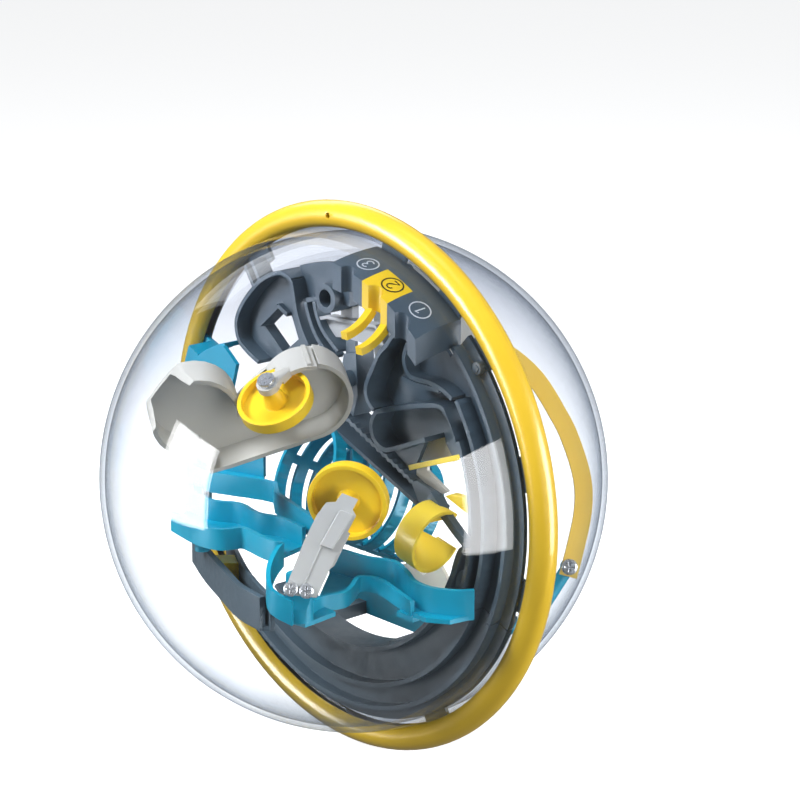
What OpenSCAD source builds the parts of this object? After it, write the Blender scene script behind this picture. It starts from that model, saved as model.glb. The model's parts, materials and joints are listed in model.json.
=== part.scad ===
// Tilt maze game: a clear ball with a tube ring round its equator and a plastic marble run inside.
// Millimetres. The origin is the centre of the ball, the ring lies in the XZ plane, +Z is up,
// and the dome with the start block's front faces is on the -Y side.

/* [Ball] */
// Outer radius of the clear ball
ball_r = 90; // [85:1:95]
// Wall of each clear dome
dome_wall = 2; // [1.6:0.2:2.4]
// Thickness of each dome's rim flange
flange_t = 1.5; // [1.2:0.1:1.8]

/* [Ring] */
// Radius of the circle that the ring's tube follows
ring_r = 94.6; // [94:0.2:96]
// Outer radius of the ring's tube
tube_r = 4.8; // [4.6:0.1:5]
// Wall of the ring's tube
tube_wall = 1.6; // [1.2:0.1:2]

/* [Marble run] */
// Thickness of floors and walls of the run
skin = 1.6; // [1.2:0.1:2]
// Height of the middle layer's walls in front of the ring plane
wall_top = 8; // [6:0.5:9]
// Diameter of the steel ball
marble_d = 11; // [9:0.5:12]

/* [Spinners] */
// Radius of the upper spinner dish
spin1_r = 12.8; // [11:0.1:14]
// Radius of the lower spinner dish
spin2_r = 13.6; // [11:0.1:14]
// Depth of the spinner dishes
spin_h = 4.5; // [4:0.5:6]
// Radius of the spinner axles
axle_r = 1.4; // [1:0.1:1.8]

/* [Hidden] */

big = 2 * ring_r;
fit = 0.05;
inner_r = ball_r - dome_wall;
flange_r = ring_r - 1.2;
// Direction from which the ball is played: turned about +Z and tilted up from level
player_turn = 48.6;
player_tilt = 17.4;

slate = [0.22, 0.27, 0.31];
teal = [0.0, 0.5, 0.65];
yellow = [0.93, 0.76, 0.16];
grey = [0.6, 0.6, 0.58];
pale = [0.74, 0.75, 0.77];
steel = [0.75, 0.76, 0.78];
clear = [0.85, 0.9, 0.95, 0.25];

// ---------- frames ----------

// Draws its children with x to the player's right, y up and z towards the player
module facing_player() rotate([90 - player_tilt, 0, player_turn]) children();

// In the player's frame: moves to a point, and points z down by lean and right by swing
module aim(at, lean, swing, roll = 0) translate(at) rotate([lean, swing, 0]) rotate(roll) children();

// A flat XZ shape, extruded along Y from back to front
module slab(back, front) translate([0, back, 0]) rotate([90, 0, 0]) linear_extrude(back - front) children();

// A section (radius, y) turned round the Y axis, from one angle to another, clockwise from +Z
module turned(from, to) rotate([-90, 0, 0]) rotate([0, 0, from - 90])
    rotate_extrude(angle = to - from, $fn = 120) children();

// A wedge of the ring of radius from low to high, between two angles, from back to front
module wedge(a0, a1, low, high, back, front) turned(a0, a1)
    translate([low, front]) square([high - low, back - front]);

// A round rod between two points
module rod(p, q, r) let (d = q - p) translate(p) rotate([0, acos(d[2] / norm(d)), atan2(d[1], d[0])])
    cylinder(h = norm(d), r = r, $fn = 48);

// ---------- curves ----------

function lerp(a, b, t) = a + (b - a) * t;

// Catmull-Rom curve through the points p, with n steps between neighbours
function at(p, i) = p[max(0, min(len(p) - 1, i))];
function blend4(a, b, c, d, t) = 0.5 * (2 * b + (c - a) * t + (2 * a - 5 * b + 4 * c - d) * t * t
    + (3 * b - a - 3 * c + d) * t * t * t);
function smooth(p, n = 4) = concat(
    [for (i = [0:len(p) - 2]) for (k = [0:n - 1])
        blend4(at(p, i - 1), at(p, i), at(p, i + 1), at(p, i + 2), k / n)],
    [p[len(p) - 1]]);

// Points on an arc about c; angles run counter-clockwise from +x
function arc(c, r, a0, a1, n = 12) =
    [for (i = [0:n]) c + r * [cos(lerp(a0, a1, i / n)), sin(lerp(a0, a1, i / n))]];

// Outline of a strip of thickness t along the path p
function unit(v) = v / max(norm(v), 1e-6);
function side(p, i) = let (d = unit(at(p, i + 1) - at(p, i - 1))) [-d[1], d[0]];
function strip(p, t) = concat([for (i = [0:len(p) - 1]) p[i] + side(p, i) * t / 2],
    [for (i = [len(p) - 1:-1:0]) p[i] - side(p, i) * t / 2]);

module strip_wall(p, t, back, front) slab(back, front) polygon(strip(p, t));

// Turned about +Z only, so that x runs to the player's right, -y towards the player and z up
module level_to_player() rotate([0, 0, player_turn]) children();

// A wall h tall and t thick that hangs from the 3-D path p
function flat_side(p, i) = let (d = at(p, i + 1) - at(p, i - 1), u = unit([d[0], d[1]])) [-u[1], u[0], 0];
function ring_of(p, i, h, t) = let (s = flat_side(p, i) * t / 2)
    [p[i] - s, p[i] + s, p[i] + s - [0, 0, h], p[i] - s - [0, 0, h]];
module hung_wall(p, h, t) {
    n = len(p);
    points = [for (i = [0:n - 1]) each ring_of(p, i, h, t)];
    sides = [for (i = [0:n - 2]) for (k = [0:3]) let (a = 4 * i + k, b = 4 * i + (k + 1) % 4)
        each [[a, b, a + 4], [b, b + 4, a + 4]]];
    caps = [[3, 2, 1, 0], [4 * n - 4, 4 * n - 3, 4 * n - 2, 4 * n - 1]];
    polyhedron(points, concat(sides, caps), convexity = 8);
}

// ---------- domes and ring ----------

floor_back = -0.4;
floor_front = floor_back - skin;
tab_angles = [-143, -98, -70, -35, 14, 34, 48, 76, 104, 150];
tab_w = 12;
tab_t = 1.5;
tab_in = 84;
tab_r = 92.4;

// Tongues of the middle layer that the two domes' flanges clamp, or the recesses for them
module tabs(angles, grow = 0) for (a = angles) rotate([0, a, 0])
    translate([-tab_w / 2 - grow, -tab_t / 2, tab_in]) cube([tab_w + 2 * grow, tab_t, tab_r - tab_in + grow]);

module dome_section(sgn) {
    intersection() {
        difference() {
            circle(ball_r, $fn = 160);
            circle(inner_r, $fn = 160);
        }
        translate([0, sgn > 0 ? 0 : -big]) square([big, big]);
    }
    translate([ball_r - 1, sgn > 0 ? 0 : -flange_t]) square([flange_r - ball_r + 1, flange_t]);
}
module dome(sgn) difference() {
    turned(0, 360) dome_section(sgn);
    tabs(tab_angles, fit);
}
module dome_front() color(clear) dome(-1);
module dome_rear() color(clear) dome(1);

slot_t = flange_t + fit;
module half_tube(sgn) turned(0, 360) intersection() {
    difference() {
        translate([ring_r, 0]) circle(tube_r, $fn = 64);
        translate([ring_r, 0]) circle(tube_r - tube_wall, $fn = 64);
        translate([ring_r - 2 * tube_r, -slot_t]) square([2 * tube_r, 2 * slot_t]);
        circle(ball_r + 0.1, $fn = 180);
    }
    translate([ring_r - 2 * tube_r, sgn > 0 ? 0 : -4 * tube_r]) square([4 * tube_r, 4 * tube_r]);
}
// Small moulded hole in the front half of the ring, left of the top
ring_hole_r = 1.1;
ring_hole_angle = -5;
module ring_front() color(yellow) difference() {
    half_tube(-1);
    rotate([0, ring_hole_angle, 0]) translate([0, 0, ring_r]) rotate([90, 0, 0])
        cylinder(h = 2 * tube_r, r = ring_hole_r, $fn = 32);
}
module ring_rear() color(yellow) half_tube(1);

// ---------- start block: three steps, with a curved top that follows the dome ----------

block_r = 87.3;
block_x = [13, 28, 40.5, 54.5];
block_front = -21;
block_h = 9;
notch_r = 3;
insert_back = -9.4;

// The curved slab under the dome between two x values, from back to front
module under_dome(x0, x1, back, front) difference() {
    intersection() {
        sphere(block_r, $fn = 120);
        translate([x0, front, block_r / 2]) cube([x1 - x0, back - front, block_r]);
    }
    translate([0, 0, -block_h]) sphere(block_r, $fn = 120);
}
// One step, with a half-round groove down the middle of its front face
module step(i, back) difference() {
    under_dome(block_x[i], block_x[i + 1], back, block_front);
    translate([(block_x[i] + block_x[i + 1]) / 2, block_front, 0]) cylinder(h = big, r = notch_r, $fn = 48);
}
module start_block() color(slate) {
    step(0, floor_back);
    step(2, floor_back);
    under_dome(block_x[1], block_x[2], floor_back, insert_back);
    tabs([14, 34]);
}

claw_w = 3;
claw_t = 2.6;
// Claw rails: x of the claw and height of its root
claws = [[31.5, 70.4], [38.8, 66.6]];
claw_path = smooth([[-19.8, 0], [-21.8, -2.2], [-25.2, -4.6], [-29, -6.2], [-32, -6.8]]);
module start_insert() color(yellow) {
    step(1, insert_back);
    for (c = claws) translate([c[0] - claw_w / 2, 0, c[1]]) rotate([90, 0, 90])
        linear_extrude(claw_w) polygon(strip(claw_path, claw_t));
}

// ---------- middle layer: slate pieces with walls along Y ----------

deep = 2.6;
d_outer = smooth([[-24.5, 69], [-31, 70.5], [-40.5, 66.5], [-47.5, 60.5], [-53, 54], [-55.7, 48],
                  [-54.5, 42], [-50, 38.5], [-43, 35.5]]);
d_inner = smooth([[-24.5, 69], [-23.2, 64], [-21.8, 58], [-19, 52], [-15.5, 47]]);
d_window = [[-47, 48], [-36.5, 57], [-31.5, 54.5], [-27.5, 46], [-36, 39.5]];
strut_angle = -35;
strut_gap = 4.4;
module d_area() {
    polygon(concat(d_outer, [for (i = [len(d_inner) - 1:-1:0]) d_inner[i]]));
    polygon(strip(d_outer, skin));
    polygon(strip(d_inner, skin));
}
module d_tray() color(slate) {
    slab(deep, floor_front) difference() {
        d_area();
        polygon(d_window);
    }
    strip_wall(d_outer, skin, deep, -wall_top);
    strip_wall(d_inner, skin, deep, -wall_top);
    for (i = [0:1]) strip_wall([d_window[i], d_window[i + 1]], skin, deep, floor_front - 2);
    rotate([0, strut_angle, 0]) {
        for (s = [-1, 1]) translate([s * strut_gap / 2 - skin / 2, -wall_top + 1, 77.5])
            cube([skin, wall_top - 1, inner_r - 79]);
        translate([-strut_gap / 2, floor_front, 77.5]) cube([strut_gap, skin, inner_r - 78.5]);
    }
    tabs([strut_angle]);
}

plate_in = 64.5;
plate_out = 77.8;
module top_plate() color(slate) {
    difference() {
        wedge(-20, 8.5, plate_in, plate_out, floor_back, floor_front);
        slab(deep + 1, -wall_top) d_area();
    }
    wedge(-16.5, -9, plate_in, plate_in + skin, floor_front, -6);
    // Bridge to the start block's end face
    translate([block_x[0] - 5, floor_front, 74]) cube([5, skin, 6]);
}

rail_a = smooth([[-16.6, 62], [-14.6, 57], [-12, 52.5], [-8.2, 48.6], [-3, 45]]);
rail_b = smooth([[-12.2, 63.5], [-10.6, 58.6], [-8, 54.6], [-4.4, 51.4], [0.5, 48]]);
module rail_area() for (rail = [rail_a, rail_b]) polygon(strip(concat([rail[0] + [-0.6, 3]], rail), skin));
module twin_rails() color(slate) {
    slab(floor_front, -wall_top) difference() {
        rail_area();
        beyond(plate_in);
    }
    slab(floor_front, -3.6) difference() {
        for (i = [1, 7, 13]) polygon(strip([rail_a[i], rail_b[i]], 2));
        rail_area();
    }
}

round_outline = [
    [-13, 54.5], [-11, 57.5], [-5.5, 59], [4, 59.5], [19.5, 60.5], [23.5, 54.5], [15.5, 52.5],
    [1, 52.5], [-11, 51]
];
module round_plate() color(pale) intersection() {
    difference() {
        union() {
            slab(-3.6, -5) polygon(round_outline);
            slab(-3.6, -7.5) polygon(strip([for (i = [1:5]) round_outline[i]], 1.2));
            slab(floor_front, -5) polygon([[-1, 57], [5, 57], [5, 66.5], [-1, 66.5]]);
        }
        slab(0, -20) rail_area();
        slab(0, -20) beyond(plate_in);
        slab(0, -20) translate(port_at) circle(port_out, $fn = 64);
    }
    slab(0, -20) polygon(concat(rail_b, [[30, 44], [30, 68], [-11, 68]]));
}
block_outline = [[1.5, 47], [8, 49], [9, 33], [6.5, 25.5], [1.5, 27.7], [-0.5, 36.5]];
module black_block() color(slate) difference() {
    union() {
        slab(zig_back, -6) polygon(block_outline);
        slab(-3.6, -5) translate([1.5, 46]) square([5, 7]);
    }
    slab(8, -20) polygon(strip(zig_points, 1.4));
    slab(0, -20) polygon(round_outline);
}

port_at = [1, 68];
port_out = 5.2;
port_in = 3.1;
port_front = -14;
module port_tube() color(slate) {
    translate([port_at[0], 0, port_at[1]]) rotate([90, 0, 0]) difference() {
        translate([0, 0, -floor_front]) cylinder(h = floor_front - port_front, r = port_out, $fn = 64);
        translate([0, 0, -floor_front + 2]) cylinder(h = 20, r = port_in, $fn = 64);
    }
    translate([port_at[0] + port_out - 0.5, -10, port_at[1] - 2]) cube([3.6, 5, 5.5]);
}

track_a = [43, 113];
w1 = 67;
w2 = 73.2;
w3 = 81.6;
leg_long = smooth([[67.6, -7.6], [63.4, -9], [61, -14], [59.4, -19], [56.6, -25]], 3);
leg_short = smooth([[65.9, -16.4], [63, -18], [61.8, -23.6]], 3);
// Floor between the upper pocket's wall and the track
module shoulder() difference() {
    polygon(concat(upper_right, [[61, 41], [61, 50], [50, 62], [37, 66]]));
    polygon(strip(upper_right, skin));
    beyond(w2 + 2);
}
module rim_track() color(slate) {
    slab(floor_back, floor_front) shoulder();
    wedge(60, track_a[1], w1 + skin / 2, inner_r - 0.5, floor_back, floor_front);
    wedge(track_a[0], 61, w2 + skin / 2, inner_r - 0.5, floor_back, floor_front);
    wedge(64.8, track_a[1], w1, w1 + skin, floor_back - 0.3, -wall_top);
    wedge(54.6, track_a[1], w2, w2 + skin, floor_back - 0.3, -wall_top);
    wedge(track_a[0] + 0.3, track_a[1], w3, w3 + skin, floor_back - 0.3, -6.5);
    // Curved legs that reach in from the inner wall
    for (leg = [leg_long, leg_short]) slab(-3.5, -wall_top + 0.3) polygon(strip(leg, 2.2));
    tabs([48, 76, 104]);
}

bolt_angle = 50.5;
bolt_rho = 85.4;
module rim_bolt() color(slate)
rotate([0, bolt_angle, 0]) translate([0, floor_front, bolt_rho]) rotate([90, 0, 0]) {
    cylinder(h = 2.2, r = 2.1, $fn = 48);
    cylinder(h = 2.6, r = 1.2, $fn = 32);
}

pocket_floor = 1.2;
lower_loop = smooth([
    [20.5, 30.5], [34.5, 35], [47.5, 38.5], [52.5, 39], [56.1, 36.9], [59, 32.8], [60.7, 28.2]
]);
lower_left = smooth([[20.5, 30.5], [18.3, 26.8], [18, 23.5], [20, 20], [24, 18], [29, 19], [45.4, 26]]);
lower_end = [[62.8, 24.2], [49.5, 18.8], [45.9, 23.4]];
function back_to(p) = [for (i = [len(p) - 1:-1:0]) p[i]];
module lower_area() polygon(concat(lower_loop, lower_end, back_to(lower_left)));
// Everything further out than the radius r
module beyond(r) difference() {
    circle(inner_r + 20, $fn = 90);
    circle(r, $fn = 120);
}
// Inside of the pocket, without the wall round it
module beside_pocket() difference() {
    lower_area();
    polygon(strip(lower_left, skin));
}
module lower_pocket() color(slate) {
    slab(pocket_floor + skin, pocket_floor) difference() {
        lower_area();
        beyond(w1);
    }
    for (p = [lower_loop, lower_left]) slab(pocket_floor + skin, -wall_top) difference() {
        polygon(strip(p, skin));
        beyond(w1);
    }
    // Panel below the pocket, beside the end of the channel
    slab(-3.2, -4.8) difference() {
        polygon([[24.5, 18.4], [43, 25.4], [37.2, 13.3], [34.2, 11.6], [32.5, 13.8]]);
        beside_pocket();
        polygon(strip(zig_points, 1.4));
    }
}

upper_left = smooth([
    [30, 60.5], [25.5, 55], [22, 51.5], [18.6, 45.5], [15.3, 38.5], [16, 33.8], [19.2, 30.8]
]);
upper_right = smooth([
    [36.5, 58], [34.5, 52], [36.5, 47.5], [40, 46.3], [47.5, 46.3], [54, 45], [58.2, 43]
]);
shelf_path = [[33.6, 45], [40, 44.2], [52, 44.6]];
module upper_area() difference() {
    polygon(concat(upper_left, [[47.5, 38.5], [56, 36.6], [60.5, 39.5]], back_to(upper_right)));
    polygon(strip(lower_loop, skin));
    lower_area();
    beyond(w2);
}
module upper_pocket() color(slate) {
    slab(pocket_floor + skin, pocket_floor) upper_area();
    for (p = [upper_left, upper_right]) slab(pocket_floor + skin, -wall_top) difference() {
        polygon(strip(p, skin));
        polygon(strip(lower_loop, skin));
        beyond(w2);
    }
    strip_wall(shelf_path, skin, pocket_floor + skin, -wall_top);
}

gate_angle = 69.2;
module gate_bar() color(yellow) difference() {
    rotate([0, gate_angle, 0]) translate([-0.9, -wall_top, 40]) cube([1.8, 3.2, w1 + 0.5 - 40]);
    slab(0, -2 * wall_top) beyond(w1);
}
plate_back = pocket_floor + skin;
module gate_plate() color(pale) slab(plate_back + 1.4, plate_back)
    polygon([[31.6, 13], [37.6, 26.2], [48, 31], [54, 25], [49.5, 17]]);

// A straight channel across the middle layer, with a saw-toothed wall on its upper side
zig_low = [[-19.5, 26.5], [47, 0.2]];
zig_high = [[-7, 30.2], [39.5, 9.4]];
zig_teeth = 17;
zig_wave = 0.8;
zig_side = [0.41, 0.91];
function zig_point(i) = lerp(zig_high[0], zig_high[1], i / (2 * zig_teeth))
    + (i % 2 == 0 ? 1 : -1) * zig_wave / 2 * zig_side;
zig_points = [for (i = [0:2 * zig_teeth]) zig_point(i)];
zig_back = 2.4;
module zigzag_channel() color(slate) {
    slab(zig_back, -wall_top) difference() {
        union() {
            polygon(strip(zig_low, 1.4));
            polygon(strip(zig_high, 0.9));
        }
        lower_area();
        polygon(strip(lower_left, skin));
    }
    // Only the top of the upper wall is saw-toothed
    slab(-wall_top + 2.2, -wall_top) difference() {
        polygon(strip(zig_points, 1.4));
        lower_area();
        polygon(strip(lower_left, skin));
    }
    slab(zig_back, zig_back - 1.4) polygon([zig_low[0], zig_low[1], zig_high[1], zig_high[0]]);
    // End of the channel, beside the scoop
    slab(-wall_top + 1.6, -wall_top)
        polygon([[38.9, 9.3], [41.4, 10.7], [52.8, 8.2], [47.5, 0.2], [43.5, 1.8]]);
}
link_path = [[50.5, 8.4], [57, 3.4], [63.5, -1.5], [69.2, -5.2]];
module scoop_link() color(slate) slab(-wall_top, -wall_top - 3) difference() {
    polygon(strip(link_path, 3));
    beyond(w1 + skin);
}

// The scoop is a cone inside a round band, open on one side
scoop_r = 11.6;
scoop_h = 9;
scoop_in = scoop_r - 1.2;
module in_scoop() facing_player() aim([22.3, -17.7, 42.5], 25, 47, 62) children();
module scoop() color(yellow) difference() {
    in_scoop() rotate_extrude(angle = 285, $fn = 90) polygon([
        [1.6, -3.4], [scoop_in, scoop_h - 2.4], [scoop_in, 0], [scoop_r, 0], [scoop_r, scoop_h],
        [scoop_in, scoop_h], [1.6, -1.6]
    ]);
    scoop_link();
}

// Plate between the gate bar and the end of the channel, fixed to the back of the bar
module end_plate() color(grey) slab(-3.4, -4.8)
    polygon([[37.8, 11.2], [38.2, 14.4], [43.3, 16.2], [43.3, 13.8], [53.7, 8.8], [49.1, 6.4]]);

// Curved guard beside the end of the channel
module scoop_guard() color(yellow) slab(-3, -6) difference() {
    polygon([[53.5, 7.5], [56.4, 8.9], [61.7, 9.4], [67.4, 7.1], [68, 3.2], [63.8, 4], [58.9, 5.7]]);
    beyond(w1);
}

// Pale plate low in the ball, fixed to the inner wall of the lower track
module low_plate() color(pale) slab(2.4, 0.8) difference() {
    polygon([
        [12.4, -27.8], [21.9, -27.5], [28.1, -24.4], [35.9, -27.2], [43.4, -20.5], [47, -24.2],
        [50.2, -30], [54.5, -31], [50, -38], [46.7, -42], [33.4, -39], [25.7, -38.5]
    ]);
    beyond(low_in);
}

// ---------- teal pieces behind and below the middle layer ----------

cage_r = 19.5;
cage_step = 7.2;
cage_rings = 7;
cage_band = 4.4;
module spiral_cage() color(teal) difference() {
    cage();
    slab(zig_back, -wall_top) polygon([zig_low[0], zig_low[1], zig_high[1], zig_high[0]]);
    slab(zig_back, -wall_top) polygon(strip(zig_low, 1.4));
}
module cage() facing_player() aim([-17.5, 2.5, 4], 17.5, 122, 0) {
    for (i = [0:cage_rings - 1]) translate([0, 0, i * cage_step]) rotate_extrude(angle = 360, $fn = 96)
        translate([cage_r - skin, 0]) square([skin, cage_band]);
    for (a = [20, 140, 262]) rotate(a) translate([cage_r - skin, -1.6, 0])
        cube([skin, 3.2, (cage_rings - 1) * cage_step + cage_band]);
}

// Walls of the wave track, as the paths of their top edges
front_wall = smooth([
    [-63, -22, -4.5], [-56, -35, -4], [-50.5, -41.5, -4], [-44.6, -44.5, -4], [-38.6, -42.4, -4],
    [-35.8, -44.5, -4], [-30.8, -52, -4], [-26.3, -57, -4], [-24, -57, -4.4]
], 3);
middle_wall = smooth([
    [-58, -10, -1], [-49, -20, -1.5], [-39.5, -23.5, -1.5], [-33, -34, -1.5], [-25.1, -37.5, -2],
    [-16.8, -47, -2.5]
], 3);
high_band = [
    [-60, 12, 2.4], [-50, 0, 2.4], [-32.3, -7, 2], [-27.6, -10.5, 2], [-26.6, -21, 1.6],
    [-20, -34.4, 1.4], [-12.3, -49, 1], [-9, -54, 0.6]
];
apron = [[-56, 16, 8], [-48, 8, 8.5], [-38, 3, 8.5], [-31.5, -1, 8.5]];
loop_wall = smooth([
    [-24, -57, -4.4], [-26.8, -62, -7], [-28.3, -69.5, -10.5], [-26.8, -77, -14],
    [-20, -79.5, -17.2]
], 3);
right_wall = smooth([
    [-8, -24.5], [-3.3, -28.6], [4.7, -35.6], [14, -40], [18.2, -51], [20.5, -60], [25.8, -66.6],
    [34, -69.6], [40, -69]
], 3);
scallop_wall = smooth([
    [-14, -67], [-10.6, -61.5], [-3.5, -57.6], [-0.5, -50.6], [1.9, -41.5], [8.5, -43.5], [14, -54],
    [19.6, -66.5]
], 3);
right_top = -17;
scallop_top = -22;
high_floor = -9;
low_floor = -26;
teal_h = 7.6;
function flat(p) = [for (q = p) [q[0], q[1]]];
module wave_track() color(teal) level_to_player() {
    hung_wall(front_wall, teal_h, skin);
    hung_wall(middle_wall, teal_h, skin);
    hung_wall(high_band, teal_h, skin);
    hung_wall(loop_wall, teal_h + 1, skin);
    translate([0, 0, high_floor - skin]) linear_extrude(skin)
        polygon(concat(flat(front_wall), back_to(flat(middle_wall))));
    // Back wall above the high band, and the floor between them
    hung_wall(apron, teal_h, skin);
    translate([0, 0, -0.6]) linear_extrude(skin)
        polygon(concat([for (i = [0:2]) [high_band[i][0], high_band[i][1]]], back_to(flat(apron))));
    // Web that carries the high band, and the post down to the corner wall
    translate([-60, -12, high_floor - skin]) cube([9, 24, skin]);
    translate([-57, 2, high_floor - skin]) cube([3, 9, 7]);
    translate([-53, -20, corner_top]) cylinder(h = high_floor - corner_top, r = 2.6, $fn = 48);
}
left_leg = [
    [-24, -51], [-38, -45], [-66, -24], [-84, -6], [-86, 3], [-77, 3], [-76, -6], [-60, -22],
    [-35, -38], [-24, -42]
];
module left_track() color(teal) difference() {
    union() {
        translate([0, 0, high_floor - 2 * skin]) linear_extrude(skin) intersection() {
            polygon(left_leg);
            circle(inner_r - 2.5, $fn = 90);
        }
        hung_wall([[-44, -33, -5], [-60, -20, -5], [-75, -5, -5], [-77, 3, -5]], teal_h, skin);
        tabs([-98]);
        rotate([0, -98, 0]) translate([-4, -2.5, 78]) cube([5, 3, 8]);
    }
    level_to_player() translate([0, 0, high_floor - skin]) {
        linear_extrude(skin) polygon(concat(flat(front_wall), back_to(flat(middle_wall))));
        translate([-60, -12, 0]) cube([9, 24, skin]);
    }
}
module upright(p, t, low, high) translate([0, 0, low]) linear_extrude(high - low) polygon(strip(p, t));
module scallop_track() color(teal) {
    level_to_player() {
        upright(right_wall, skin, low_floor - skin, right_top);
        upright(scallop_wall, skin, low_floor - skin, scallop_top);
        translate([0, 0, low_floor - skin]) linear_extrude(skin)
            union() {
                polygon(concat(right_wall, [[32, -74], [24, -72]], back_to(scallop_wall)));
                polygon([[-13, -65.4], [-10, -61], [-6, -66], [-16, -77], [-21, -73]]);
            }
    }
    // Leg back to the lower track
    translate([56, -30, low_floor - 2 * skin]) cube([8, 30 + floor_front, skin + 0.4]);
}

corner_outer = smooth([
    [-57, 2, -20], [-51.3, -19, -20], [-43.7, -41, -20], [-38.2, -56, -20], [-30.4, -68, -20]
], 3);
corner_inner = smooth([[-45, 2, -20], [-41.1, -20, -20], [-35.2, -46, -20], [-27.1, -69, -20]], 3);
corner_h = 12;
corner_t = 2.2;
corner_top = -20;
module corner_wall() color(slate) level_to_player() translate([0, 0, corner_top - corner_h]) {
    linear_extrude(corner_h) polygon(strip(flat(corner_outer), corner_t));
    linear_extrude(corner_h) polygon(strip(flat(corner_inner), skin));
    linear_extrude(skin) polygon(concat(flat(corner_outer), back_to(flat(corner_inner))));
}
module corner_gate() color(yellow) level_to_player()
    translate([0, 0, corner_top - corner_h + skin]) linear_extrude(9)
    difference() {
        polygon([[-54, -21], [-38, -21], [-36, -30], [-52, -30]]);
        polygon(concat([[-80, 2]], [for (p = flat(corner_outer)) p], [[-80, -68]]));
        polygon(strip(flat(corner_outer), corner_t));
        polygon(concat([[-20, 2]], [for (p = flat(corner_inner)) p], [[-20, -69]]));
        polygon(strip(flat(corner_inner), skin));
    }

band_y = -11;
band_top = smooth([[-82, 22], [-76.5, 29], [-70, 34], [-61, 38.5], [-57.4, 39.6]]);
module left_band() color(teal) {
    slab(band_y, band_y - skin) polygon(concat(band_top, [[-50, 34], [-54, 21], [-66, 13], [-79, 12]]));
    strip_wall(band_top, skin, -4, band_y - skin / 2);
    difference() {
        wedge(-73, -66, 78, inner_r - 1.2, floor_back, band_y - skin / 4);
        slab(-3, band_y - 2 * skin) circle(81, $fn = 90);
    }
    tabs([-70]);
}

// ---------- lobe tray, its arm and the two spinner dishes ----------

tray_at = [-17.6, 32.6, 38];
tray_lean = 33;
tray_swing = 13;
lobe_r = 14.6;
tray_h = 13;
arm_from = 84;
arm_to = 152;
lobe2 = [-37.5, -7];
module in_tray() facing_player() aim(tray_at, tray_lean, tray_swing) children();
tray_path = concat(arc([0, 0], lobe_r, arm_from, -62, 14), [[-8, -19], [-24, -25.5], [-31, -28]],
    [[-31.5, -24.5], [-34, -22.3]], arc(lobe2, lobe_r, -75, -179, 8), [[-53.2, -4]]);
tray_gap = concat(
    arc(lobe2, lobe_r, 150, 5, 10), [[-20.6, -2], [-17.2, 2.5]], arc([0, 0], lobe_r, arm_to, arm_from + 3, 8)
);
module tray_area() polygon(concat(tray_path, [[-50.9, 0.75]], tray_gap));
module lobe_tray() color(grey) intersection() {
    in_tray() {
        linear_extrude(skin) difference() {
            tray_area();
            translate([-3, 6]) circle(2, $fn = 32);
        }
        linear_extrude(tray_h) {
            polygon(strip(tray_path, skin));
            polygon(strip(arc(lobe2, lobe_r, 150, 5, 10), skin));
        }
    }
    sphere(inner_r - 0.4, $fn = 120);
}

// Post from the black block to the underside of the tray
module tray_post() color(slate) difference() {
    translate([5, -6, 39]) rotate([90, 0, 0]) cylinder(h = 40, r = 3, $fn = 48);
    in_tray() translate([-60, -60, 0]) cube([120, 120, 60]);
}

spin1_at = [-25.4, 24.4, 57];
spin1_lean = -39.8;
spin1_swing = -21.5;
spin2_at = [-1.2, -6.5, 60];
spin2_lean = 23.6;
spin2_swing = -15.3;
dish_floor = 1.6;
hub_h = 8.5;
// A shallow dish with a tapered hub, bored for its axle
module dish(r, h, hub) difference() {
    union() {
        cylinder(h = dish_floor, r = r - 0.4, $fn = 96);
        difference() {
            cylinder(h = h, r = r, $fn = 96);
            translate([0, 0, -1]) cylinder(h = h + 2, r = r - 1.6, $fn = 96);
        }
        cylinder(h = hub, r1 = 4.4, r2 = 2.6, $fn = 64);
    }
    translate([0, 0, -1]) cylinder(h = hub + 2, r = axle_r + fit, $fn = 48);
}
module spinner_upper() color(yellow) facing_player()
    aim(spin1_at, spin1_lean, spin1_swing) dish(spin1_r, spin_h, hub_h);
module spinner_lower() color(yellow) facing_player()
    aim(spin2_at, spin2_lean, spin2_swing) dish(spin2_r, spin_h, hub2_h);

head_h = 1.8;
gap = 0.3;
// Axle with a head behind the dish; it is fixed where it passes through the arm or bracket
module axle(top) {
    translate([0, 0, -gap - head_h]) cylinder(h = head_h, r = 2.6, $fn = 48);
    translate([0, 0, -gap - head_h]) cylinder(h = top + gap + head_h, r = axle_r, $fn = 48);
}
arm_lug_z = hub_h + gap;
arm_lug_t = 2.6;
module spinner_upper_axle() color(steel) facing_player() aim(spin1_at, spin1_lean, spin1_swing) {
    axle(arm_lug_z + arm_lug_t);
    translate([0, 0, arm_lug_z + arm_lug_t]) cylinder(h = head_h, r = 2.9, $fn = 48);
}
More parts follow.
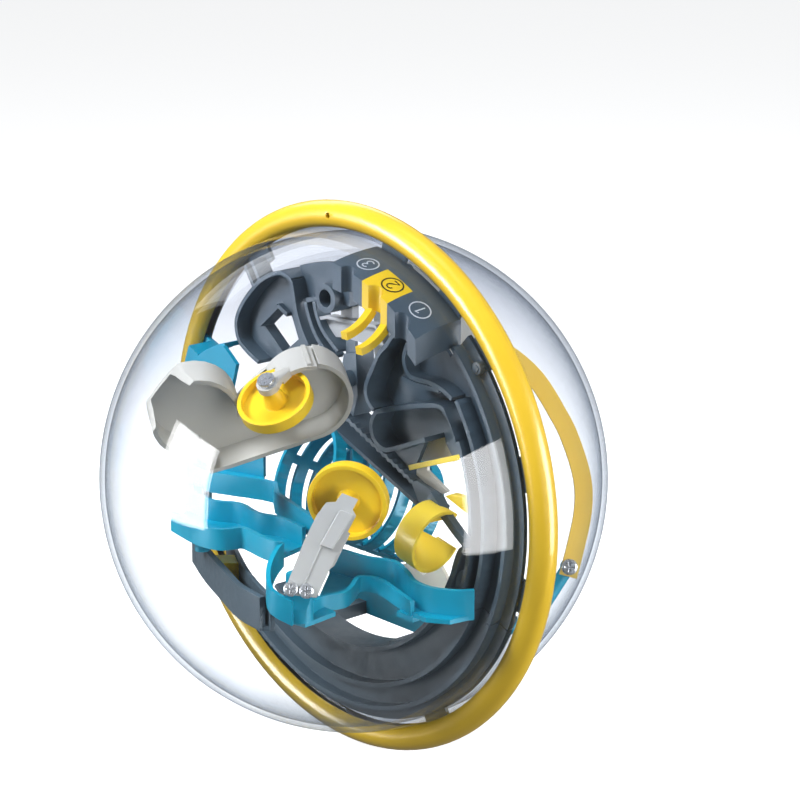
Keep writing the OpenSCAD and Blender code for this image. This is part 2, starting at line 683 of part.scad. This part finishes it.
// Arm from the lobe's top wall to the end of the upper spinner's axle
arm_top = 15;
module in_spin1() facing_player() aim(spin1_at, spin1_lean, spin1_swing) children();
module arm_wall(a0, a1, z0, t, top) in_tray() rotate(a0) rotate_extrude(angle = a1 - a0, $fn = 96)
    translate([lobe_r - t / 2, z0]) square([t, top - z0]);
module lobe_arm() color(pale) difference() {
    union() {
        arm_wall(arm_from + 3, arm_to, skin, skin, arm_top);
        in_tray() rotate(97) translate([lobe_r, -0.7, skin + 0.3]) cube([1.6, 1.4, arm_top - skin - 0.8]);
        hull() {
            in_spin1() translate([0, 0, arm_lug_z]) cylinder(h = arm_lug_t, r = 3.8, $fn = 32);
            arm_wall(122, 136, arm_top - 3, skin + 0.6, arm_top - 0.4);
        }
    }
    in_spin1() translate([0, 0, -gap]) cylinder(h = spin_h + 2 * gap, r = spin1_r + gap, $fn = 96);
    in_spin1() cylinder(h = arm_lug_z, r = 5, $fn = 48);
    in_spin1() translate([0, 0, -30]) cylinder(h = 60, r = axle_r, $fn = 48);
    in_spin1() translate([0, 0, arm_lug_z + arm_lug_t]) cylinder(h = 12, r = 7, $fn = 48);
}

bracket_t = 3;
bracket_edge_l = [
    [-3.8, -4.8], [-5.9, -7.7], [-9, -7.9], [-12, -11.9], [-16.2, -20.4], [-19.2, -28],
    [-21.6, -34], [-23, -38]
];
bracket_edge_r = [
    [-12.2, -39.2], [-9.3, -33], [-5.1, -24], [-2.1, -17.9], [0.8, -12.3], [-0.3, -10.3],
    [1.5, -6.9]
];
bracket_back = 67.5;
hub2_h = 5;
bracket_screw_at = [[-20.6, -36.3], [-15.5, -37]];
module spinner_bracket() color(pale) facing_player() difference() {
    union() {
        translate([0, 0, bracket_back]) linear_extrude(bracket_t)
            polygon(concat(bracket_edge_l, bracket_edge_r));
        intersection() {
            aim(spin2_at, spin2_lean, spin2_swing) translate([0, 0, hub2_h + gap])
                cylinder(h = 10, r = 2.6, $fn = 48);
            translate([-20, -30, 0]) cube([40, 60, bracket_back + 1]);
        }
    }
    aim(spin2_at, spin2_lean, spin2_swing) cylinder(h = axle2_top, r = axle_r, $fn = 48);
}
axle2_top = 10;
module spinner_lower_axle() color(steel) facing_player()
    aim(spin2_at, spin2_lean, spin2_swing) axle(axle2_top);
module bracket_screws() color(steel) facing_player() for (p = bracket_screw_at)
    translate([p[0], p[1], bracket_back + bracket_t]) cylinder(h = 1.6, r = 2.2, $fn = 48);
module bracket_foot() color(teal) difference() {
    level_to_player() translate([-17.8, -73.4, low_floor]) cylinder(h = 16, r = 4.6, $fn = 64);
    facing_player() translate([-60, -60, bracket_back]) cube([100, 100, 30]);
    level_to_player() {
        hung_wall(loop_wall, teal_h + 1, skin);
        upright(scallop_wall, skin, low_floor - skin, scallop_top);
    }
    level_to_player() translate([0, 0, low_floor - 40]) cylinder(h = 40, r = 200, $fn = 24);
}

// ---------- lower half of the ring plane and rear dome ----------

low_track = [113.3, 217];
low_in = 60;
module lower_track() color(slate) {
    wedge(low_track[0], low_track[1], low_in, inner_r - 0.5, 0.8, floor_front);
    for (r = [low_in, w2, w3]) wedge(low_track[0], low_track[1], r, r + skin, 7, -6.5);
    tabs([150, 217]);
}

arm_w = 6.4;
rear_arm_back = -6;
rear_path = smooth([
    [43, 48.5], [54, 45], [64.8, 35.9], [73, 23], [77.5, 13.7], [81.6, 0], [81.8, -12],
    [78.7, -26.6], [76.5, -35]
]);
rear_arm_t = 2.4;
module rear_arm() color(yellow) difference() {
    facing_player() translate([0, 0, rear_arm_back]) linear_extrude(rear_arm_t)
        polygon(strip(rear_path, arm_w));
    slab(rear_floor + rear_wall, rear_floor) polygon(concat(rear_tray_path, [[30, 30]]));
}
rear_screw = [77, -31.6, rear_arm_back];
module rear_arm_screw() color(steel) facing_player()
    translate(rear_screw + [0, 0, rear_arm_t]) cylinder(h = 1.6, r = 2.6, $fn = 48);
// Elbowed post from the end of the rear arm down to the lower track
elbow = [47.6, 44.5, -51.2];
module rear_post() color(teal) {
    facing_player() translate(rear_screw) rotate([180, 0, 0]) cylinder(h = 4, r = 2.9, $fn = 48);
    rod([51.9, 57, -32.7], elbow, 2.4);
    translate(elbow) sphere(2.8, $fn = 48);
    rod(elbow, [elbow[0], 0.8, elbow[2]], 2.4);
}

rear_floor = 40;
rear_wall = 10;
rear_tray_path = smooth([
    [25, 42], [18, 52], [6, 61], [-8, 68.5], [-20, 68], [-29, 60], [-34, 47], [-34, 33], [-29, 21],
    [-22, 12], [-12, 6], [0, 6], [8, 13], [10, 22]
], 3);
module rear_tray() color(grey) {
    slab(rear_floor + skin, rear_floor) polygon(concat(rear_tray_path, [[26, 32]]));
    strip_wall(concat(rear_tray_path, [[10.4, 24]]), skin, rear_floor + rear_wall, rear_floor + skin / 2);
}
module rear_tray_posts() color(slate) {
    rod([-15, floor_back, 67], [-15, rear_floor, 67], 2.6);
    rod([21.5, pocket_floor + skin, 41], [21.5, rear_floor, 41], 2.6);
}

trough_y = 30;
trough_z = -60;
trough_l = 64;
module ball_trough() color(teal) translate([-trough_l / 2, trough_y, trough_z]) difference() {
    translate([0, -marble_d / 2 - 0.6 - skin, -skin]) cube([trough_l, marble_d + 1.2 + 2 * skin, skin + 8]);
    translate([skin, -marble_d / 2 - 0.6, 0]) cube([trough_l - 2 * skin, marble_d + 1.2, 20]);
}
module trough_posts() color(slate) difference() {
    for (x = [-20, 20]) translate([x - 2, 0.8, trough_z - skin])
        cube([4, trough_y - marble_d / 2 - 0.6 - skin - 0.8, 5]);
    wedge(low_track[0], low_track[1], low_in, low_in + skin, 7, 0);
}
module steel_ball() color(steel)
    translate([0, trough_y, trough_z + marble_d / 2 + fit]) sphere(marble_d / 2, $fn = 96);

// ---------- node list ----------

dome_front();
dome_rear();
ring_front();
ring_rear();
start_block();
start_insert();
d_tray();
top_plate();
twin_rails();
round_plate();
black_block();
port_tube();
rim_track();
rim_bolt();
upper_pocket();
lower_pocket();
zigzag_channel();
gate_bar();
gate_plate();
scoop();
scoop_link();
scoop_guard();
end_plate();
low_plate();
spiral_cage();
wave_track();
scallop_track();
left_band();
left_track();
corner_wall();
corner_gate();
lobe_tray();
lobe_arm();
tray_post();
spinner_upper();
spinner_upper_axle();
spinner_lower();
spinner_lower_axle();
spinner_bracket();
bracket_screws();
bracket_foot();
lower_track();
rear_arm();
rear_arm_screw();
rear_post();
rear_tray();
rear_tray_posts();
ball_trough();
trough_posts();
steel_ball();
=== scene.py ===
import json
import math

import bmesh
import bpy
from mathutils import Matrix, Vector


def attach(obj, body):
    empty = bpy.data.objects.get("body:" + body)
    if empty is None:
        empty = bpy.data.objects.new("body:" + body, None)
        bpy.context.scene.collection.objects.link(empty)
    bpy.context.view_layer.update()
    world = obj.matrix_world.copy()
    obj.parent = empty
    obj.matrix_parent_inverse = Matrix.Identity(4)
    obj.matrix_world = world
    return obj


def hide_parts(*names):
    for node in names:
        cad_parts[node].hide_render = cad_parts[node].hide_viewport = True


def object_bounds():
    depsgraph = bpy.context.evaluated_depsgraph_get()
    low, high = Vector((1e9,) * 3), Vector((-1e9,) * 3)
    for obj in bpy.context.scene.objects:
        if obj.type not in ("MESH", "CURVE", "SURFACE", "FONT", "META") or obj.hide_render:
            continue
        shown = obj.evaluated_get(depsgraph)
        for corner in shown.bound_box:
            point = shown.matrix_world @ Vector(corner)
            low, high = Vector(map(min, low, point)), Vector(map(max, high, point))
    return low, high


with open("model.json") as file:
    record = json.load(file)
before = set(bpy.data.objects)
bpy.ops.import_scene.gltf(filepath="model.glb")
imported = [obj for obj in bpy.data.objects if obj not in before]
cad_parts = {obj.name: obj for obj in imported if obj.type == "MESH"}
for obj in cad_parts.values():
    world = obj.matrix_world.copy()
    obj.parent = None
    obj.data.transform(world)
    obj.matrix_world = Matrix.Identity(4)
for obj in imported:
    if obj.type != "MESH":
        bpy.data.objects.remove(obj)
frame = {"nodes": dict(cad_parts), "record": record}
nodes = frame["nodes"]
cad_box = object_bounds()

MM = 0.001

# ---------- camera ----------

# How far round the ball from its front the camera stands, and how far above the level
TURN = math.radians(48.6)
TILT = math.radians(17.4)
CAMERA_AWAY = 0.93
TO_CAMERA = Vector((math.sin(TURN) * math.cos(TILT), -math.cos(TURN) * math.cos(TILT), math.sin(TILT)))
RIGHT = Vector((math.cos(TURN), math.sin(TURN), 0.0))
UP = TO_CAMERA.cross(RIGHT)


def player_point(right, up, near):
    """A point given to the right, up and towards the camera, as a vector in the row frame."""
    return RIGHT * right + UP * up + TO_CAMERA * near


def make_camera():
    data = bpy.data.cameras.new("camera")
    data.sensor_width = 36.0
    data.lens = 117.8
    data.shift_x = 0.058
    data.shift_y = 0.098
    data.clip_start = 0.01
    data.clip_end = 20.0
    camera = bpy.data.objects.new("camera", data)
    bpy.context.collection.objects.link(camera)
    camera.location = TO_CAMERA * CAMERA_AWAY
    camera.rotation_euler = TO_CAMERA.to_track_quat("Z", "Y").to_euler()
    bpy.context.scene.camera = camera


# ---------- materials ----------

def linear(channel):
    """Linear light from a screen value of 0 to 1."""
    return channel / 12.92 if channel <= 0.04045 else ((channel + 0.055) / 1.055) ** 2.4


def colour(red, green, blue):
    """Linear colour from screen values of 0 to 255."""
    return (linear(red / 255), linear(green / 255), linear(blue / 255), 1.0)


WHITE = (1.0, 1.0, 1.0, 1.0)


class Shader:
    """A material's node tree, with short calls to add and join nodes."""

    def __init__(self, name):
        self.material = bpy.data.materials.new(name)
        self.material.use_nodes = True
        self.tree = self.material.node_tree
        self.tree.nodes.clear()
        self.output = self.tree.nodes.new("ShaderNodeOutputMaterial")

    def add(self, kind, settings=None, inputs=None):
        """A node; an input that is another node's socket is linked, and any other value is set."""
        node = self.tree.nodes.new("ShaderNode" + kind)
        for key, value in (settings or {}).items():
            setattr(node, key, value)
        for key, value in (inputs or {}).items():
            if isinstance(value, bpy.types.NodeSocket):
                self.tree.links.new(value, node.inputs[key])
            else:
                node.inputs[key].default_value = value
        return node

    def place(self):
        return self.add("TexCoord").outputs["Object"]

    def noise(self, scale, detail=3.0, rough=0.5):
        return self.add("TexNoise", inputs={"Vector": self.place(), "Scale": scale, "Detail": detail,
                                            "Roughness": rough}).outputs["Fac"]

    def power(self, value, exponent):
        return self.add("Math", {"operation": "POWER"}, {0: value, 1: exponent}).outputs[0]

    def blend(self, share, first, second):
        node = self.add("MixRGB", inputs={"Fac": share, "Color1": first, "Color2": second})
        return node.outputs["Color"]

    def ramp(self, factor, low, high, at=(0.3, 0.7)):
        """Colours from low to high as the factor goes over the span given by at."""
        node = self.add("ValToRGB", inputs={"Fac": factor})
        first, last = node.color_ramp.elements
        first.position, last.position = at
        first.color, last.color = low, high
        return node.outputs["Color"]

    def spread(self, factor, low, high, at=(0.3, 0.7)):
        """Values from low to high as the factor goes over the span given by at."""
        node = self.add("MapRange", inputs={"Value": factor, "From Min": at[0], "From Max": at[1],
                                            "To Min": low, "To Max": high})
        return node.outputs["Result"]

    def bump(self, height, distance, strength, under=None):
        inputs = {"Height": height, "Distance": distance, "Strength": strength}
        if under is not None:
            inputs["Normal"] = under
        return self.add("Bump", inputs=inputs).outputs["Normal"]

    def finish(self, shader):
        self.tree.links.new(shader, self.output.inputs["Surface"])
        return self.material


def plastic(name, light, dark, rough, texture, coat=0.0, sub=0.0, wavy=0.25):
    """Moulded plastic: slow changes of tone, a fine surface grain, and gloss that varies a little.

    rough holds the least and the most roughness, texture and wavy are the strengths of the grain and of
    the slow waves, and coat and sub are the shares of clear coat and of light scattered inside.
    """
    s = Shader(name)
    tone = s.ramp(s.noise(scale=38.0, detail=4.0), dark, light)
    gloss = s.spread(s.noise(scale=240.0, rough=0.6), rough[0], rough[1])
    waves = s.bump(s.noise(scale=55.0, detail=1.0), distance=0.0006, strength=wavy)
    grain = s.bump(s.noise(scale=2600.0, detail=2.0, rough=0.6), 0.00002, texture, under=waves)
    inputs = {"Base Color": tone, "Roughness": gloss, "Normal": grain, "IOR": 1.5, "Coat Weight": coat,
              "Coat Roughness": 0.12}
    if sub:
        inputs["Subsurface Weight"] = sub
        inputs["Subsurface Radius"] = (0.004, 0.0025, 0.0008)
        inputs["Subsurface Scale"] = 0.4
    return s.finish(s.add("BsdfPrincipled", inputs=inputs).outputs["BSDF"])


def steel(name):
    """Bright plated steel with faint turning marks."""
    s = Shader(name)
    tone = s.ramp(s.noise(scale=300.0, detail=4.0), colour(186, 190, 196), colour(224, 227, 232))
    gloss = s.spread(s.noise(scale=900.0), 0.22, 0.36)
    marks = s.bump(s.noise(scale=1800.0, detail=2.0), distance=0.000006, strength=0.3)
    inputs = {"Base Color": tone, "Metallic": 0.7, "Roughness": gloss, "Normal": marks}
    return s.finish(s.add("BsdfPrincipled", inputs=inputs).outputs["BSDF"])


def clear_plastic(name):
    """A thin clear wall: see-through face on, with more tint and more mirror towards its edge, and a
    painted grey shade over its upper half.
    """
    s = Shader(name)
    waves = s.bump(s.noise(scale=16.0, detail=1.0), distance=0.0008, strength=0.12)
    facing = s.add("LayerWeight", inputs={"Blend": 0.5}).outputs["Facing"]
    bare = s.ramp(s.noise(scale=24.0), (0.978, 0.982, 0.986, 1.0), WHITE)
    # Painted shade: the tint turns greyer from the ball's middle up to 75 mm above it, so the upper half
    # reads shaded though the plastic is equally clear all over
    height = s.add("SeparateXYZ", inputs={"Vector": s.place()}).outputs["Z"]
    painted_upper_shade = s.blend(s.spread(height, 0.0, 1.0, at=(0.0, 0.075)), bare, (0.895, 0.905, 0.93, 1.0))
    tint = s.blend(s.power(facing, 3.5), painted_upper_shade, (0.66, 0.71, 0.78, 1.0))
    through = s.add("BsdfTransparent", inputs={"Color": tint})
    mirror = s.add("BsdfGlossy", inputs={"Color": WHITE, "Roughness": 0.03, "Normal": waves})
    share = s.spread(s.power(facing, 5.0), 0.022, 0.6, at=(0.0, 1.0))
    mixed = s.add("MixShader", inputs={0: share, 1: through.outputs["BSDF"], 2: mirror.outputs["BSDF"]})
    return s.finish(mixed.outputs["Shader"])


SLATE = plastic("slate_plastic", colour(78, 93, 104), colour(66, 81, 92), (0.34, 0.5), 0.35)
TEAL = plastic("teal_plastic", colour(0, 154, 186), colour(0, 138, 170), (0.34, 0.48), 0.3, sub=0.05)
YELLOW = plastic("yellow_plastic", colour(244, 208, 44), colour(236, 196, 34), (0.3, 0.45), 0.3, sub=0.05)
RING = plastic("ring_yellow_plastic", colour(209, 174, 44), colour(205, 169, 40), (0.29, 0.32), 0.12,
               coat=0.35, wavy=0.06)
GREY = plastic("warm_grey_plastic", colour(198, 197, 190), colour(188, 187, 180), (0.36, 0.5), 0.35)
AMBER = plastic("pale_amber_plastic", colour(252, 214, 104), colour(248, 204, 88), (0.26, 0.4), 0.2,
                sub=0.1)
LEMON = plastic("lemon_plastic", colour(252, 226, 84), colour(248, 216, 66), (0.3, 0.42), 0.3, sub=0.08)
PALE = plastic("pale_grey_plastic", colour(184, 186, 186), colour(174, 177, 177), (0.36, 0.5), 0.3,
               sub=0.05)
IVORY = plastic("ivory_plastic", colour(244, 242, 230), colour(236, 234, 222), (0.36, 0.5), 0.3,
                sub=0.1)
PRINT_PALE = plastic("pale_print", colour(206, 212, 216), colour(192, 198, 202), (0.4, 0.5), 0.2)
PRINT_DARK = plastic("dark_print", colour(28, 30, 32), colour(22, 24, 26), (0.4, 0.5), 0.2)
STEEL = steel("plated_steel")
CLEAR = clear_plastic("clear_plastic")

# ---------- CAD nodes ----------

FINISHES = {
    "slate_plastic": SLATE, "teal_plastic": TEAL, "yellow_plastic": YELLOW, "ring_yellow_plastic": RING,
    "warm_grey_plastic": GREY, "pale_grey_plastic": PALE, "screw_steel": STEEL, "ball_steel": STEEL,
    "clear_shell": CLEAR,
}
# Nodes that are moulded in a tone of their own
OWN_TONE = {
    "rear_arm": AMBER, "scoop": LEMON, "scoop_guard": LEMON, "gate_bar": LEMON, "gate_plate": IVORY,
    "low_plate": IVORY, "lobe_arm": GREY,
}
WELD_WITHIN = 0.002 * MM
EDGE_ROUND = 0.22 * MM
EDGE_FROM = math.radians(35)


def dress_node(name, slot):
    """Gives a CAD node its finish, rounds its sharp edges a little and smooths its curved faces."""
    node = nodes[name]
    node.data.materials.clear()
    node.data.materials.append(OWN_TONE.get(name, FINISHES[slot]))
    weld = node.modifiers.new("weld", "WELD")
    weld.merge_threshold = WELD_WITHIN
    if slot != "clear_shell":
        bevel = node.modifiers.new("bevel", "BEVEL")
        bevel.width = EDGE_ROUND
        bevel.segments = 2
        bevel.limit_method = "ANGLE"
        bevel.angle_limit = EDGE_FROM
        bevel.use_clamp_overlap = True
        bevel.harden_normals = False
        normals = node.modifiers.new("normals", "WEIGHTED_NORMAL")
        normals.weight = 60
    for polygon in node.data.polygons:
        polygon.use_smooth = True


for row in frame["record"]["subparts"]:
    dress_node(row["node"], row["material_slot"])


# ---------- pieces made here, in millimetres ----------

def make_piece(name, points, faces, material, smooth=True):
    """A closed mesh that rides on the fixed body, with its faces turned outwards."""
    mesh = bpy.data.meshes.new(name)
    mesh.from_pydata([Vector(point) * MM for point in points], [], faces)
    mesh.update()
    mesh.materials.append(material)
    for polygon in mesh.polygons:
        polygon.use_smooth = smooth
    turned = bmesh.new()
    turned.from_mesh(mesh)
    bmesh.ops.recalc_face_normals(turned, faces=turned.faces)
    turned.to_mesh(mesh)
    turned.free()
    piece = bpy.data.objects.new(name, mesh)
    bpy.context.collection.objects.link(piece)
    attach(piece, "root")
    return piece


def circle(radius, steps):
    """Points evenly round a circle."""
    angles = [2 * math.pi * step / steps for step in range(steps)]
    return [(radius * math.cos(angle), radius * math.sin(angle)) for angle in angles]


def turned_shape(rings, steps):
    """Points and faces of a closed turned shape from its rings; a ring of one point is a pole."""
    points = []
    rows = []
    for ring in rings:
        first = len(points)
        rows.append([first] * steps if len(ring) == 1 else list(range(first, first + steps)))
        points += ring
    faces = []
    for low, high in zip(rows, rows[1:]):
        for step in range(steps):
            after = (step + 1) % steps
            corners = [low[step], low[after], high[after], high[step]]
            faces.append(list(dict.fromkeys(corners)))
    return points, faces


# The clear ball: its outside, its inside, and the flange and gap where its two domes meet
BALL_R = 90.0
INNER_R = 88.0
FLANGE_R = 93.4
FLANGE_T = 1.5
RIM_GAP = 0.02
DOME_STEPS = 56
DOME_TURNS = 224
# A row of points at this share of the arc from the pole keeps the rim's edge crisp
NEAR_RIM = 0.9985
# A ring smaller than this is a pole
ON_AXIS = 0.001


def dome_profile(side):
    """Points of a dome's wall from the outer pole round the flange to the inner pole, as radius and y."""
    def arc(radius, low_y):
        last = math.acos(low_y / radius)
        angles = [last * i / DOME_STEPS for i in range(DOME_STEPS)] + [last * NEAR_RIM, last]
        return [(radius * math.sin(angle), side * radius * math.cos(angle)) for angle in angles]
    outer = arc(BALL_R, FLANGE_T)
    flange = [(FLANGE_R, side * FLANGE_T), (FLANGE_R, side * RIM_GAP)]
    inner = arc(INNER_R, RIM_GAP)
    return outer + flange + inner[::-1]


def make_dome(name, side, cad_node):
    """A clear dome, turned about the ring's axis, that stands for the CAD's dome."""
    rings = []
    for radius, y in dome_profile(side):
        around = [(0.0, 0.0)] if radius < ON_AXIS else circle(radius, DOME_TURNS)
        rings.append([(x, y, z) for x, z in around])
    points, faces = turned_shape(rings, DOME_TURNS)
    dome = make_piece(name, points, faces, CLEAR)
    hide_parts(cad_node)


make_dome("clear_dome_front", -1, "dome_front")
make_dome("clear_dome_rear", 1, "dome_rear")

# The start steps lie on a sphere of BLOCK_R, and the print stands PRINT_HEIGHT proud of it
BLOCK_R = 87.3
PRINT_HEIGHT = 0.12
PRINT_SUNK = 0.3
PRINT_W = 0.46
NUMERAL_RING_R = 3.7
NUMERAL_RING_STEPS = 40
DIGITS = {
    "1": [(-0.9, 1.3), (0.1, 2.1), (0.1, -2.1)],
    "2": [(-1.2, 1.1), (-1.0, 1.8), (-0.2, 2.2), (0.7, 2.0), (1.2, 1.3), (1.0, 0.5), (0.2, -0.5),
          (-1.3, -2.1), (1.35, -2.1)],
    "3": [(-1.1, 1.6), (-0.4, 2.15), (0.5, 2.1), (1.1, 1.5), (0.9, 0.6), (0.0, 0.15), (1.0, -0.4),
          (1.25, -1.2), (0.7, -2.0), (-0.3, -2.2), (-1.2, -1.6)],
}


def on_start_face(centre, radius, across, along):
    """A point near a numeral: across to its right and along to its top, on a sphere of that radius."""
    normal = Vector(centre).normalized()
    top = (Vector((0.0, -1.0, 0.0)) - normal * -normal.y).normalized()
    right = top.cross(normal)
    return (normal * BLOCK_R + right * across + top * along).normalized() * radius


def printed_line(centre, path, points, faces):
    """Adds a thin raised line to the mesh lists; a path that ends where it starts is a loop."""
    loop = path[0] == path[-1]
    path = path[:-1] if loop else path
    count = len(path)
    first = len(points)
    foot = BLOCK_R - PRINT_SUNK
    face = BLOCK_R + PRINT_HEIGHT
    for i, here in enumerate(path):
        before = path[i - 1] if loop or i else here
        after = path[(i + 1) % count] if loop or i < count - 1 else here
        along = (Vector(after) - Vector(before)).normalized()
        side = Vector((-along.y, along.x)) * PRINT_W / 2
        left = Vector(here) + side
        right = Vector(here) - side
        for radius, edge in ((foot, left), (face, left), (face, right), (foot, right)):
            points.append(on_start_face(centre, radius, edge.x, edge.y))
    for i in range(count if loop else count - 1):
        low = first + 4 * i
        high = first + 4 * ((i + 1) % count)
        for k in range(4):
            after = (k + 1) % 4
            faces.append([low + k, low + after, high + after, high + k])
    if not loop:
        faces.append([first, first + 1, first + 2, first + 3])
        faces.append([first + 4 * count - 1 - k for k in range(4)])


def make_numeral(digit, centre, material):
    """A printed number inside a printed circle on one of the start steps."""
    points = []
    faces = []
    ring = circle(NUMERAL_RING_R, NUMERAL_RING_STEPS)
    printed_line(centre, ring + ring[:1], points, faces)
    printed_line(centre, DIGITS[digit], points, faces)
    make_piece("numeral_" + digit, points, faces, material, smooth=False)


make_numeral("3", (22.0, -12.9, 83.5), PRINT_PALE)
make_numeral("2", (35.2, -13.7, 78.7), PRINT_DARK)
make_numeral("1", (47.5, -12.5, 72.2), PRINT_PALE)


def make_plate(name, outline, low, high, bevel=0.3):
    """A pale plate that faces the camera: its outline to the right and up, its depth from low to high."""
    count = len(outline)
    points = [player_point(right, up, near) for near in (low, high) for right, up in outline]
    faces = [list(range(count)), list(range(2 * count - 1, count - 1, -1))]
    faces += [[i, (i + 1) % count, count + (i + 1) % count, count + i] for i in range(count)]
    plate = make_piece(name, points, faces, PALE)
    edge = plate.modifiers.new("bevel", "BEVEL")
    edge.width = bevel * MM
    edge.segments = 3
    edge.limit_method = "ANGLE"
    edge.angle_limit = math.radians(30)
    plate.modifiers.new("normals", "WEIGHTED_NORMAL")


SCREW_RINGS = 14
SCREW_TURNS = 64
SCREW_SUNK = 0.2
# Shares of the head's height: where its dome starts, and how deep the cross goes
SCREW_RIM = 0.45
CROSS_DEPTH = 0.55
# Shares of the head's radius: half the cross's width, and how far out it reaches
CROSS_HALF = 0.13
CROSS_REACH = 0.62


def screw_level(x, y, radius, height):
    """Height of a screw head's face at a point, with the cross cut into its dome."""
    reach = math.hypot(x, y)
    dome = height * (SCREW_RIM + (1 - SCREW_RIM) * math.sqrt(1 - (reach / radius) ** 2))
    in_cross = min(abs(x), abs(y)) < radius * CROSS_HALF and reach < radius * CROSS_REACH
    return dome - (CROSS_DEPTH * height if in_cross else 0.0)


def make_screw(name, seat, radius, height, cad_node):
    """A domed screw head with a cross recess that faces the camera and stands for a CAD screw."""
    rings = [[(0.0, 0.0, -SCREW_SUNK)]]
    for level in (-SCREW_SUNK, height * SCREW_RIM):
        rings.append([(x, y, level) for x, y in circle(radius, SCREW_TURNS)])
    for ring in range(SCREW_RINGS - 1, 0, -1):
        around = circle(radius * ring / SCREW_RINGS, SCREW_TURNS)
        rings.append([(x, y, screw_level(x, y, radius, height)) for x, y in around])
    rings.append([(0.0, 0.0, height * SCREW_RIM)])
    points, faces = turned_shape(rings, SCREW_TURNS)
    turn = TO_CAMERA.to_track_quat("Z", "X").to_matrix()
    placed = [seat + turn @ Vector(point) for point in points]
    screw = make_piece(name, placed, faces, STEEL)
    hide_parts(cad_node)


# The front of the arched bracket that holds the lower dish, towards the camera from the ball's middle
BRACKET_FRONT = 70.5

make_plate("bracket_panel", [(-4.9, -10.9), (-4.2, -10.3), (0.1, -11.9), (-6.9, -23.3), (-11.2, -21.9)],
           BRACKET_FRONT - 0.5, BRACKET_FRONT + 1.1)
make_plate("bracket_ridge", [(-10.4, -22.3), (-10.9, -22.4), (-16.9, -35.4), (-16.4, -35.6)],
           BRACKET_FRONT - 0.5, BRACKET_FRONT + 0.25, bevel=0.12)
make_screw("bracket_screw_1", player_point(-20.6, -36.3, BRACKET_FRONT), 2.5, 1.7, "bracket_screws")
make_screw("bracket_screw_2", player_point(-15.5, -37.0, BRACKET_FRONT), 2.5, 1.7, "bracket_screws")
make_screw("rear_arm_screw_head", player_point(77.0, -31.6, -3.6), 2.9, 1.8, "rear_arm_screw")
make_plate("bracket_side_rib", [(-3.6, -16.5), (-1.1, -18.2), (-6.4, -28.9), (-8.4, -30.3), (-11.5, -33)],
           BRACKET_FRONT - 5.2, BRACKET_FRONT - 2.7)


# ---------- light and stage, in metres ----------

def softbox(name, at, size, power, lit=True, mirrored=True):
    """An area lamp that faces the ball: lit if it lights surfaces, mirrored if gloss shows it."""
    data = bpy.data.lights.new(name, "AREA")
    data.shape = "RECTANGLE"
    data.size, data.size_y = size
    data.energy = power
    box = bpy.data.objects.new(name, data)
    bpy.context.collection.objects.link(box)
    box.location = at
    box.rotation_euler = at.to_track_quat("Z", "Y").to_euler()
    box.visible_camera = False
    box.visible_diffuse = lit
    box.visible_glossy = mirrored


def stage_mesh(name, points, faces, tone, glow, shadow):
    """A pale piece of the set that no surface mirrors or takes light from."""
    mesh = bpy.data.meshes.new(name)
    mesh.from_pydata(points, [], faces)
    piece = bpy.data.objects.new(name, mesh)
    bpy.context.collection.objects.link(piece)
    s = Shader(f"pale_{name}")
    body = s.add("BsdfPrincipled", inputs={"Base Color": tone, "Roughness": 0.7, "Emission Color": WHITE,
                                           "Emission Strength": glow})
    mesh.materials.append(s.finish(body.outputs["BSDF"]))
    piece.visible_diffuse = False
    piece.visible_glossy = False
    piece.visible_shadow = shadow


# The walls stand just inside the floor's edge and start a little below it
STAGE_REACH = 10.0
WALL_REACH = 9.8
WALL_SUNK = 0.5


def square(half, level):
    return [(-half, -half, level), (half, -half, level), (half, half, level), (-half, half, level)]


def make_stage():
    """The floor, four far walls that close the view above it, and a faint even light from all round."""
    level = cad_box[0].z
    stage_mesh("floor", square(STAGE_REACH, level), [(0, 1, 2, 3)], (0.8, 0.81, 0.82, 1.0), glow=0.72,
               shadow=True)
    walls = square(WALL_REACH, level - WALL_SUNK) + square(WALL_REACH, STAGE_REACH)
    sides = [(i, (i + 1) % 4, (i + 1) % 4 + 4, i + 4) for i in range(4)]
    stage_mesh("backdrop", walls, sides, (0.02, 0.02, 0.02, 1.0), glow=0.86, shadow=False)
    world = bpy.data.worlds.new("studio")
    bpy.context.scene.world = world
    world.use_nodes = True
    sky = world.node_tree.nodes["Background"]
    sky.inputs["Color"].default_value = (0.94, 0.97, 1.0, 1.0)
    sky.inputs["Strength"].default_value = 0.2


softbox("right_softbox", player_point(0.84, -0.10, 0.36), size=(0.62, 0.66), power=17.0, lit=False)
softbox("left_softbox", player_point(-0.93, 0.0, 0.20), size=(0.46, 0.52), power=16.0, lit=False)
softbox("right_fill", player_point(0.84, 0.1, 0.2), size=(0.5, 0.5), power=7.0, mirrored=False)
softbox("front_fill", player_point(0.4, -0.2, 0.85), size=(0.4, 0.4), power=5.0, mirrored=False)
softbox("left_key", player_point(-0.52, 0.36, 0.28), size=(0.22, 0.22), power=7.5, mirrored=False)
softbox("top_key", player_point(-0.15, 0.9, 0.35), size=(0.4, 0.4), power=6.0, mirrored=False)
softbox("rim_shine", player_point(-0.22, 0.78, -0.57), size=(0.8, 0.3), power=2.2, lit=False)

make_stage()
make_camera()
bpy.context.scene.view_settings.view_transform = "Standard"
